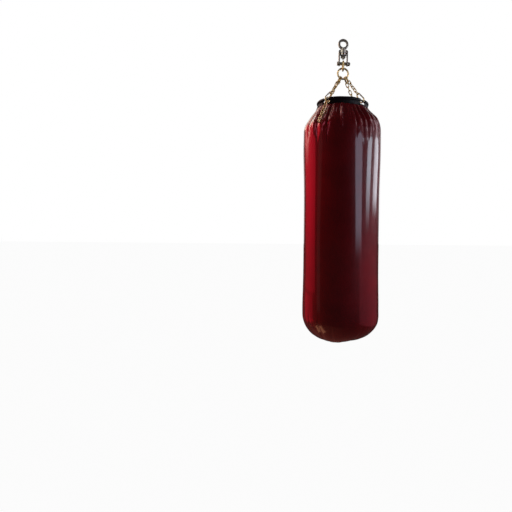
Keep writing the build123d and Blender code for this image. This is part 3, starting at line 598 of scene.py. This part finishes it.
def between(lines, wanted, values):
    """Rows of `values`, given at `lines`, read at the wanted places between them."""
    row = np.clip(np.searchsorted(lines, wanted, "right") - 1, 0, len(lines) - 2)
    part = ((wanted - lines[row]) / (lines[row + 1] - lines[row]))[:, None, None]
    return values[row] * (1 - part) + values[row + 1] * part


def settled(steps, points, tall=132, every=4, frames=16, most=0.006):
    """The points after the cover has settled on its packed filling. An even net over the same
    form is simulated as cloth, pushed out from inside and held at the hem and the foot, and
    the cover follows it. No point moves further than `most`."""
    lines = np.linspace(steps[0], steps[-1], tall)
    net = between(steps, lines, points[:, ::every])
    wide = net.shape[1]
    mesh = bpy.data.meshes.new("settling_net")
    mesh.from_pydata(net.reshape(-1, 3).tolist(), [], ring_faces(tall, wide))
    made = bpy.data.objects.new("settling_net", mesh)
    bpy.context.collection.objects.link(made)
    held = made.vertex_groups.new(name="held")
    held.add(list(range(2 * wide)) + list(range((tall - 2) * wide, tall * wide)), 1.0, "REPLACE")
    cloth = made.modifiers.new("settle", "CLOTH")
    how = cloth.settings
    how.quality = 6
    how.mass = 0.30
    how.tension_stiffness = how.compression_stiffness = 30
    how.shear_stiffness = 10
    how.bending_stiffness = 1.0
    how.use_pressure = True
    how.uniform_pressure_force = 5.0
    how.effector_weights.gravity = 0
    how.vertex_group_mass = "held"
    cloth.collision_settings.use_collision = False
    cloth.point_cache.frame_start, cloth.point_cache.frame_end = 1, frames
    for number in range(1, frames + 1):
        bpy.context.scene.frame_set(number)
    end = np.empty(tall * wide * 3)
    made.evaluated_get(bpy.context.evaluated_depsgraph_get()).data.vertices.foreach_get("co", end)
    bpy.context.scene.frame_set(1)
    bpy.data.objects.remove(made)
    bpy.data.meshes.remove(mesh)
    moved = end.reshape(tall, wide, 3) - net
    far = np.linalg.norm(moved, axis=2, keepdims=True)
    moved *= np.minimum(1, most / np.maximum(far, 1e-9))
    # Between the net's columns the cover moves as its neighbours do.
    place = np.arange(points.shape[1]) / every
    before = place.astype(int)
    part = (place - before)[None, :, None]
    across = moved[:, before % wide] * (1 - part) + moved[:, (before + 1) % wide] * part
    return points + between(lines, steps, across)


skin_theta, skin_s, skin_points = skin_grid()
skin_points = settled(skin_s, skin_points)


TURNED_EDGE = (  # how far in and how far down from the hem, from its inner end outward
    (0.0052, 0.012), (0.0050, 0.004), (0.0040, 0.0004), (0.0022, -0.0010), (0.0008, -0.0008),
)
OFF_COLLAR = 0.0004  # the turned-in edge stays this far off the collar


def make_skin():
    """The outer face, its turned-in top edge and its gathered foot."""
    edge = skin_points[0]
    edge_radius = np.hypot(edge[:, 0], edge[:, 1])
    rings = []
    for inward, down in TURNED_EDGE:
        r = np.maximum(edge_radius - inward, COLLAR + OFF_COLLAR)
        rings.append(ring(r, edge[:, 2] - down, skin_theta))
    rings += list(skin_points)
    faces = ring_faces(len(rings), len(skin_theta))
    return piece("skin_cover", np.concatenate(rings), faces, oxblood)


skin = make_skin()
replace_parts(skin, "skin", "foam_lining", "inner_liner", "filling")


# ------------------------------------------------------------------ trim on the skin
CORD_IN, CORD_DOWN = 0.0006, 0.0004  # how far the cord sits in and down in the hem
CORD_OUTWARD, CORD_UPWARD = 0.0007, 0.0006  # how far it wanders
PATCH_LIFT = 0.0002  # the patch lies this much closer to the skin than the CAD's
PATCH_WAVE = 0.00025
PATCH_STEPS = 10  # rings from its edge to its middle


def tube_ring(line, section, sides=10):
    """Points and faces of a closed tube, `section` in radius, along a closed line of points."""
    ahead = np.roll(line, -1, axis=0) - np.roll(line, 1, axis=0)
    ahead /= np.linalg.norm(ahead, axis=1)[:, None]
    out = line * (1, 1, 0)
    out /= np.linalg.norm(out, axis=1)[:, None]
    out -= ahead * np.sum(out * ahead, axis=1)[:, None]
    out /= np.linalg.norm(out, axis=1)[:, None]
    up = np.cross(ahead, out)
    rings = []
    for k in range(sides):
        a = TAU * k / sides
        rings.append(line + section * (math.cos(a) * out + math.sin(a) * up))
    return np.concatenate(rings), ring_faces(sides, len(line), True)


def make_piping():
    """The cord in the hem, a little wavy as the gathers push it about."""
    theta = around(540)
    r = NECK - PIPING - CORD_IN + CORD_OUTWARD * smooth_noise(theta, 0.0, 40, 8)
    z = HEM + PIPING - CORD_DOWN + CORD_UPWARD * smooth_noise(theta, 1.0, 36, 9)
    verts, faces = tube_ring(ring(r, z, theta), PIPING)
    return piece("hem_cord", verts, faces, black_coat)


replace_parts(make_piping(), "hem_piping")


def make_patch():
    """The round foot patch: a soft-edged disc with a rolled rim, a little wavy."""
    columns = 144
    theta = around(columns)
    top, low = patch_high.z + PATCH_LIFT, patch_low.z + PATCH_LIFT
    rows = [(PATCH - 0.0006, top + 0.0006), (PATCH, top - 0.0004), (PATCH - 0.0002, low + 0.0008),
            (PATCH - 0.0012, low + 0.0001), (PATCH - 0.0034, low + 0.0005),
            (PATCH - 0.0060, low + 0.0002)]
    rows += [(PATCH * k / PATCH_STEPS, low + 0.0002) for k in range(PATCH_STEPS - 1, 0, -1)]
    rings = []
    for r, z in rows:
        wave = PATCH_WAVE * smooth_noise(theta, r * 60, 9, 4) * min(1.0, r / 0.03)
        rings.append(ring(r, z + wave, theta))
    verts = np.concatenate(rings + [np.array([[0, 0, low + 0.0002]])])
    return piece("foot_patch_cover", verts, disc_faces(len(rings), columns), oxblood_trim)


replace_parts(make_patch(), "foot_patch")


# ------------------------------------------------------------------ stitches
THREAD = 0.00045  # radius
STITCH_GAP = 0.32  # share of the pitch between two stitches
HEM_PITCH, SEAM_PITCH, FOOT_PITCH = 0.0048, 0.0050, 0.0052
HEM_ROWS = (0.0035, 0.0105)  # down from the hem
SEAM_ROWS = (0.0022, 0.0065)  # to the right of the lapped edge
FOOT_ROWS = (0.0046, 0.0105)  # in from the patch's edge
FOOT_LIFT = 0.0001  # the stitches' middle lies this far above the patch's low face
SEAM_ENDS = 0.012  # the seam's stitches stop this far from the hem and the patch


def stitch_row(name, points, normals, closed=True):
    """A row of stitches: one short bent capsule between each two points."""
    verts, faces = [], []
    sides, rows = 5, 5
    following = np.roll(points, -1, axis=0)
    count = len(points) if closed else len(points) - 1
    for a, b, n in zip(points[:count], following[:count], normals):
        run = b - a
        start, end = a + run * STITCH_GAP / 2, b - run * STITCH_GAP / 2
        ahead = run / np.linalg.norm(run)
        side = np.cross(n, ahead)
        first = len(verts)
        for i in range(rows):
            t = i / (rows - 1)
            lift = THREAD * 0.9 * math.sin(math.pi * t) - THREAD * 0.25
            wide = THREAD * (0.45 if i in (0, rows - 1) else 1.0)
            middle = start + (end - start) * t + n * lift
            for k in range(sides):
                w = TAU * k / sides
                verts.append(middle + wide * (math.cos(w) * side + math.sin(w) * n))
        for i in range(rows - 1):
            for k in range(sides):
                m = (k + 1) % sides
                p, q = first + i * sides, first + (i + 1) * sides
                faces.append((p + k, p + m, q + m, q + k))
        faces.append(tuple(first + k for k in reversed(range(sides))))
        faces.append(tuple(first + (rows - 1) * sides + k for k in range(sides)))
    return piece(name, verts, faces, red_thread)


def on_skin(s, angles):
    """Points of the skin's outer face at distances down the outline and angles round it."""
    s, angles = np.broadcast_arrays(s, angles)
    row = np.clip(np.searchsorted(skin_s, s) - 1, 0, len(skin_s) - 2)
    down = ((s - skin_s[row]) / (skin_s[row + 1] - skin_s[row]))[:, None]
    columns = len(skin_theta)
    place = (angles % TAU) / TAU * columns
    column = place.astype(int)
    part = (place - column)[:, None]
    column, following = column % columns, (column + 1) % columns
    upper = skin_points[row, column] * (1 - part) + skin_points[row, following] * part
    lower = skin_points[row + 1, column] * (1 - part) + skin_points[row + 1, following] * part
    return upper * (1 - down) + lower * down


def skin_normals(s, angles):
    """The form's outward directions, without its folds."""
    s, angles = np.broadcast_arrays(s, angles)
    lean = np.array([Line.at(float(v))[2:] for v in s])
    return np.stack([lean[:, 0] * np.cos(angles), lean[:, 0] * np.sin(angles), lean[:, 1]],
                    axis=1)


def hem_stitches():
    """Two rows through the gathers, just under the collar."""
    for number, s in enumerate(HEM_ROWS, 1):
        angles = around(int(TAU * NECK / HEM_PITCH))
        points = on_skin(np.full(len(angles), s), angles)
        stitch_row(f"hem_stitches_{number}", points, skin_normals(s, angles))


def seam_stitches():
    """Two rows down the back seam."""
    for number, x in enumerate(SEAM_ROWS, 1):
        s = np.arange(SEAM_ENDS, Line.length - PATCH - SEAM_ENDS, SEAM_PITCH)
        angle = BACK_SEAM + x / BAG
        points = on_skin(s, angle)
        stitch_row(f"seam_stitches_{number}", points, skin_normals(s, angle), closed=False)


def foot_stitches():
    """Two rows round the foot patch."""
    for number, inward in enumerate(FOOT_ROWS, 1):
        radius = PATCH - inward
        angles = around(int(TAU * radius / FOOT_PITCH))
        points = ring(radius, patch_low.z + FOOT_LIFT, angles)
        down = np.tile([0.0, 0.0, -1.0], (len(points), 1))
        stitch_row(f"foot_stitches_{number}", points, down)


hem_stitches()
seam_stitches()
foot_stitches()


# ------------------------------------------------------------------ rim collar
COLLAR_DETAIL = 0.0014  # the finest detail that the softened collar keeps
COLLAR_OUTWARD, COLLAR_UPWARD = 0.0006, 0.0005  # how far the webbing wanders
COLLAR_FREE = 0.03  # it wanders fully this far above the hem


def make_collar():
    """The coated webbing rolled over the hoop: the CAD's form, made soft."""
    made = bpy.data.objects.new("rim_cover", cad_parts["rim_collar"].data.copy())
    made.data.name = "rim_cover"
    bpy.context.collection.objects.link(made)
    remesh = made.modifiers.new("remesh", "REMESH")
    remesh.mode = "VOXEL"
    remesh.voxel_size = COLLAR_DETAIL
    smooth = made.modifiers.new("smooth", "SMOOTH")
    smooth.factor = 0.5
    smooth.iterations = 4
    evaluated = made.evaluated_get(bpy.context.evaluated_depsgraph_get())
    mesh = bpy.data.meshes.new_from_object(evaluated)
    made.modifiers.clear()
    made.data = mesh
    flat = np.empty(len(mesh.vertices) * 3)
    mesh.vertices.foreach_get("co", flat)
    points = flat.reshape(-1, 3)
    theta = np.arctan2(points[:, 1], points[:, 0])
    r = np.hypot(points[:, 0], points[:, 1])
    free = np.clip((points[:, 2] - HEM) / COLLAR_FREE, 0, 1)
    swell = COLLAR_OUTWARD * smooth_noise(theta, points[:, 2] * 30, 14, 21) * free
    grow = (r + swell) / r
    points[:, 0] *= grow
    points[:, 1] *= grow
    points[:, 2] += COLLAR_UPWARD * smooth_noise(theta, 0.0, 12, 22) * free
    mesh.vertices.foreach_set("co", points.ravel())
    mesh.materials.clear()
    mesh.materials.append(black_coat)
    for polygon in mesh.polygons:
        polygon.use_smooth = True
    mesh.update()
    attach(made, "bag")
    return made


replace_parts(make_collar(), "rim_collar")


# ------------------------------------------------------------------ top panel
PANEL_SAG, SAG_RUN = 0.0012, 0.03  # how far the lid sags, and how far in it does so fully
PANEL_RIPPLE, RIPPLE_RUN = 0.0004, 0.012  # the same for its ripples
BY_ZIP = 0.0002  # under the tape and beside it, the lid lies flat and this far down
ZIP_SIDE, ZIP_END = 0.006, 0.01  # how far that flat part goes beside and beyond the tape
TAPE_DOWN = 0.0001  # the tape's face lies this far under the CAD's
TAPE_THICKNESS = 0.0007
TAPE_WAVE = 0.00018
TAPE_EDGE = 0.25  # share of the tape's width, on each side, that waves


def make_panel():
    """The canvas lid: sags a little between its binding and the zip."""
    columns = 160
    theta = around(columns)
    outer = panel_high.x
    rows = [(outer - 0.0004, 0.0088), (outer - 0.0012, 0.0094), (outer - 0.0021, 0.0086),
            (outer - 0.0024, 0.003), (outer - 0.0034, 0.0008), (outer - 0.006, 0.0)]
    rows += [(r, 0.0) for r in np.linspace(outer - 0.012, 0.004, 22)]
    rings = []
    for r, lift in rows:
        sag = -PANEL_SAG * min(1.0, max(0.0, (outer - r) / SAG_RUN))
        inner = min(1.0, (outer - r) / RIPPLE_RUN)
        ripple = PANEL_RIPPLE * smooth_noise(theta, r * 70, 11, 31) * inner
        beside = np.abs(r * np.sin(theta)) < tape_high.y + ZIP_SIDE
        height = np.where(beside & (r < tape_high.x + ZIP_END), -BY_ZIP, sag + ripple)
        rings.append(ring(r, panel_high.z + lift + (height if lift == 0 else 0), theta))
    verts = np.concatenate(rings + [np.array([[0, 0, panel_high.z - BY_ZIP]])])
    faces = [face[::-1] for face in disc_faces(len(rings), columns)]
    return piece("panel_canvas", verts, faces, black_canvas)


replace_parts(make_panel(), "top_panel", "panel_flange")


def make_tape():
    """The zip's tape: a thin strip with a slight wave along each edge."""
    along, across = 60, 12
    verts, faces = [], []
    for i in range(along + 1):
        for j in range(across + 1):
            x = tape_low.x + (tape_high.x - tape_low.x) * i / along
            y = tape_low.y + (tape_high.y - tape_low.y) * j / across
            edge = min(j, across - j) / across
            wave = TAPE_WAVE * math.sin(x * 310 + j) if edge < TAPE_EDGE else 0.0
            verts.append((x, y, tape_high.z - TAPE_DOWN + wave))
    for i in range(along):
        for j in range(across):
            a = i * (across + 1) + j
            faces.append((a, a + across + 1, a + across + 2, a + 1))
    tape = piece("zip_tape_cloth", verts, faces, black_tape)
    thick = tape.modifiers.new("thick", "SOLIDIFY")
    thick.thickness = TAPE_THICKNESS
    thick.offset = -1
    return tape


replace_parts(make_tape(), "zip_tape")


# ------------------------------------------------------------------ stage
FLOOR_DROP = 1.0  # the floor lies this far under the bag
FLOOR_HALF = 60.0  # half of the floor's width
FLOOR_PAINT = (0.62, 0.60, 0.58, 1)
BACK_WALL = (-math.cos(front(0)), -math.sin(front(0)), 0.35)  # towards the wall behind the bag
WALL_EDGE = (0.82, 1.02)  # how far along that, where the wall's white starts and is full
ROOM_COLOUR, ROOM_GLOW = (0.70, 0.43, 0.46, 1), 0.045


def white_to_camera(tree, shader, white, seen):
    """The shader, mixed with even white as far as the camera, gloss and glass see it. `white`
    names the node that makes the white."""
    glow = tree.nodes.new(white)
    glow.inputs["Color"].default_value = (1, 1, 1, 1)
    path = tree.nodes.new("ShaderNodeLightPath")
    total = None
    for output, share in seen:
        part = node_maths(tree, "MULTIPLY", path.outputs[output], share)
        total = node_maths(tree, "MAXIMUM", total, part) if total else part
    mix = tree.nodes.new("ShaderNodeMixShader")
    tree.links.new(total, mix.inputs[0])
    tree.links.new(shader.outputs[0], mix.inputs[1])
    tree.links.new(glow.outputs[0], mix.inputs[2])
    return mix.outputs[0]


def smooth_step(tree, place, direction, start, end, low, high):
    """A factor that goes softly from `low` to `high` between two places along a direction."""
    along = tree.nodes.new("ShaderNodeVectorMath")
    along.operation = "DOT_PRODUCT"
    along.inputs[1].default_value = direction
    tree.links.new(place, along.inputs[0])
    soft = tree.nodes.new("ShaderNodeMapRange")
    soft.interpolation_type = "SMOOTHSTEP"
    for name, value in (("From Min", start), ("From Max", end), ("To Min", low),
                        ("To Max", high)):
        soft.inputs[name].default_value = value
    tree.links.new(along.outputs["Value"], soft.inputs["Value"])
    return soft.outputs["Result"]


def make_floor():
    """A matt pale floor that keeps shadows and shows nearly white."""
    paint = bpy.data.materials.new("pale_floor")
    paint.use_nodes = True
    tree = paint.node_tree
    tree.nodes.clear()
    out = tree.nodes.new("ShaderNodeOutputMaterial")
    matt = tree.nodes.new("ShaderNodeBsdfDiffuse")
    matt.inputs["Color"].default_value = FLOOR_PAINT
    seen = (("Is Camera Ray", 0.97), ("Is Glossy Ray", 0.02), ("Is Transmission Ray", 0.97))
    surface = white_to_camera(tree, matt, "ShaderNodeEmission", seen)
    tree.links.new(surface, out.inputs["Surface"])
    half, height = FLOOR_HALF, BOTTOM - FLOOR_DROP
    mesh = bpy.data.meshes.new("studio_floor")
    mesh.from_pydata([(-half, -half, height), (half, -half, height), (half, half, height),
                      (-half, half, height)], [], [(0, 1, 2, 3)])
    mesh.materials.append(paint)
    floor = bpy.data.objects.new("studio_floor", mesh)
    bpy.context.collection.objects.link(floor)


def make_world():
    """White to the camera. Gloss sees the white wall behind the bag and above it, and a dim
    room in front; everything else is lit by that dim, rosy room."""
    world = bpy.data.worlds.new("studio")
    bpy.context.scene.world = world
    world.use_nodes = True
    tree = world.node_tree
    tree.nodes.clear()
    out = tree.nodes.new("ShaderNodeOutputWorld")
    dim = tree.nodes.new("ShaderNodeBackground")
    dim.inputs["Color"].default_value = ROOM_COLOUR
    dim.inputs["Strength"].default_value = ROOM_GLOW
    towards = tree.nodes.new("ShaderNodeTexCoord").outputs["Generated"]
    wall = smooth_step(tree, towards, BACK_WALL, *WALL_EDGE, 0.0, 1.0)
    seen = (("Is Camera Ray", 1.0), ("Is Glossy Ray", wall), ("Is Transmission Ray", 1.0))
    surface = white_to_camera(tree, dim, "ShaderNodeBackground", seen)
    tree.links.new(surface, out.inputs["Surface"])


def lamp(name, angle, distance, low, high, width, glow, colour, aim=None, only=None,
         down=None, onward=None):
    """A soft box between two heights at an angle from the camera's side, facing the bag at
    its own middle or at the height `aim`. `glow` is how bright each square metre is. `only`
    is what it lights. `down` fades it between two heights, and `onward` between two distances
    from its middle, onward round the bag, both to a share of its glow."""
    data = bpy.data.lights.new(name, "AREA")
    data.shape = "RECTANGLE"
    data.size, data.size_y = width, high - low
    data.energy = math.pi * width * (high - low) * glow
    data.color = colour
    made = bpy.data.objects.new(name, data)
    bpy.context.collection.objects.link(made)
    place = front(angle)
    middle = (low + high) / 2
    made.location = (distance * math.cos(place), distance * math.sin(place), middle)
    target = Vector((0, 0, middle if aim is None else aim))
    made.rotation_euler = (target - made.location).to_track_quat("-Z", "Y").to_euler()
    if only:
        made.light_linking.receiver_collection = only
    turned = place + math.copysign(math.pi / 2, angle)
    sideways = (math.cos(turned), math.sin(turned), 0)
    data.use_nodes = True
    tree = data.node_tree
    total = None
    for direction, run in (((0, 0, 1), down), (sideways, onward)):
        if run:
            start, end, share = run
            spot = tree.nodes.new("ShaderNodeNewGeometry").outputs["Position"]
            part = smooth_step(tree, spot, direction, start, end, 1.0, share)
            total = node_maths(tree, "MULTIPLY", total, part) if total else part
    if total:
        tree.links.new(total, tree.nodes["Emission"].inputs["Strength"])


def group(name, objects):
    """A collection for a lamp to light."""
    made = bpy.data.collections.new(name)
    for one in sorted(objects, key=lambda each: each.name):
        made.objects.link(one)
    return made


make_floor()
make_world()
bag_cloth = group("bag_cloth", [bpy.data.objects[name]
                                for name in ("skin_cover", "foot_patch_cover")])
hardware = group("hardware", [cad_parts[name] for name in metal_nodes])
everything = group("object", [one for one in bpy.data.objects
                              if one.type == "MESH" and one.name != "studio_floor"])

# Name, angle, distance, low, high, width, glow and colour. First the cool windows on the
# right and the pale gaps above them.
lamp("window_near", 51, 2.2, -1.12, 0.05, 0.80, 2.4, (0.74, 0.77, 1.0), only=everything,
     down=(-0.77, -1.12, 0))
lamp("window_side", 83, 2.2, -0.86, 0.00, 0.52, 5.6, (0.75, 0.86, 1.0), only=everything,
     down=(-0.37, -0.86, 0))
lamp("window_far", 114, 2.2, -0.74, 0.00, 0.90, 4.6, (0.86, 0.90, 1.0), only=everything,
     down=(-0.50, -0.74, 0))
lamp("side_top", 82, 2.2, 0.00, 1.9, 0.24, 2.0, (1.0, 0.76, 0.88), only=everything)
lamp("far_top", 116, 2.2, 0.00, 1.4, 0.30, 2.2, (1.0, 0.80, 0.90), only=everything)
# Other red bags on the left and low on the right, which the vinyl mirrors.
lamp("red_bounce", -105, 2.0, -1.35, 1.0, 1.80, 2.8, (1.0, 0.012, 0.04), only=bag_cloth,
     down=(-0.37, -1.35, 0.45), onward=(-0.25, 0.75, 0.53))
lamp("red_bounce_low", -110, 2.0, -2.1, -1.37, 1.40, 0.9, (1.0, 0.010, 0.04), only=bag_cloth)
lamp("red_low_right", 92, 1.7, -2.3, -0.70, 2.6, 0.48, (1.0, 0.14, 0.22), only=bag_cloth,
     down=(-1.1, -0.70, 0.35), onward=(-0.2, 1.3, 0.55))
# A faint warm slot on the left, then lamps above it whose light catches the gathers.
lamp("warm_slot", -67, 2.2, -1.6, 0.2, 0.45, 0.12, (1.0, 0.62, 0.56))
lamp("cream_left", -137, 1.40, -0.05, 0.85, 0.20, 3.6, (1.0, 0.80, 0.60), -0.35,
     only=everything)
lamp("pink_left", -117, 1.36, -0.42, 0.95, 0.44, 3.0, (1.0, 0.52, 0.46), -0.35,
     only=everything, down=(0.15, -0.42, 0))
lamp("pink_high", -98, 1.30, 0.60, 1.90, 0.11, 2.7, (1.0, 0.42, 0.46), -0.35, only=bag_cloth)
lamp("magenta", -58, 1.40, -0.10, 0.60, 0.18, 3.0, (1.0, 0.18, 0.30), -0.35, only=bag_cloth)
# Key and fill for the metal.
lamp("steel_key", -45, 1.7, -0.5, 1.1, 1.5, 1.5, (1.0, 0.95, 0.86), -0.2, only=hardware)
lamp("steel_fill", 60, 1.9, -0.4, 1.2, 1.2, 0.9, (0.92, 0.95, 1.0), -0.2, only=hardware)
# Warm light from low on the left and from the floor.
lamp("low_warm", -80, 0.75, -2.90, -1.80, 0.55, 1.5, (1.0, 0.42, 0.22), -1.36, only=bag_cloth)
lamp("floor_warm", 0, 0.01, -3.5, -1.1, 2.4, 0.15, (1.0, 0.24, 0.14), 9.0, only=bag_cloth,
     onward=(-0.30, 0.60, 0.15))


def make_camera():
    """In front of the bag, near the middle of its height and pitched down a little."""
    data = bpy.data.cameras.new("camera")
    data.lens = LENS_MM
    data.sensor_width = SENSOR_MM
    data.clip_start = 0.05
    data.shift_x = CAMERA_SHIFT
    camera = bpy.data.objects.new("camera", data)
    bpy.context.collection.objects.link(camera)
    side = Vector((math.cos(CAMERA_AZIMUTH), math.sin(CAMERA_AZIMUTH), 0))
    camera.location = side * CAMERA_DISTANCE + Vector((0, 0, CAMERA_HEIGHT))
    look = -side * math.cos(CAMERA_PITCH) + Vector((0, 0, math.sin(CAMERA_PITCH)))
    camera.rotation_mode = "QUATERNION"
    camera.rotation_quaternion = look.to_track_quat("-Z", "Y") @ Quaternion(
        (0, 0, 1), CAMERA_ROLL)
    bpy.context.scene.camera = camera


make_camera()
bpy.context.scene.view_settings.view_transform = "Standard"
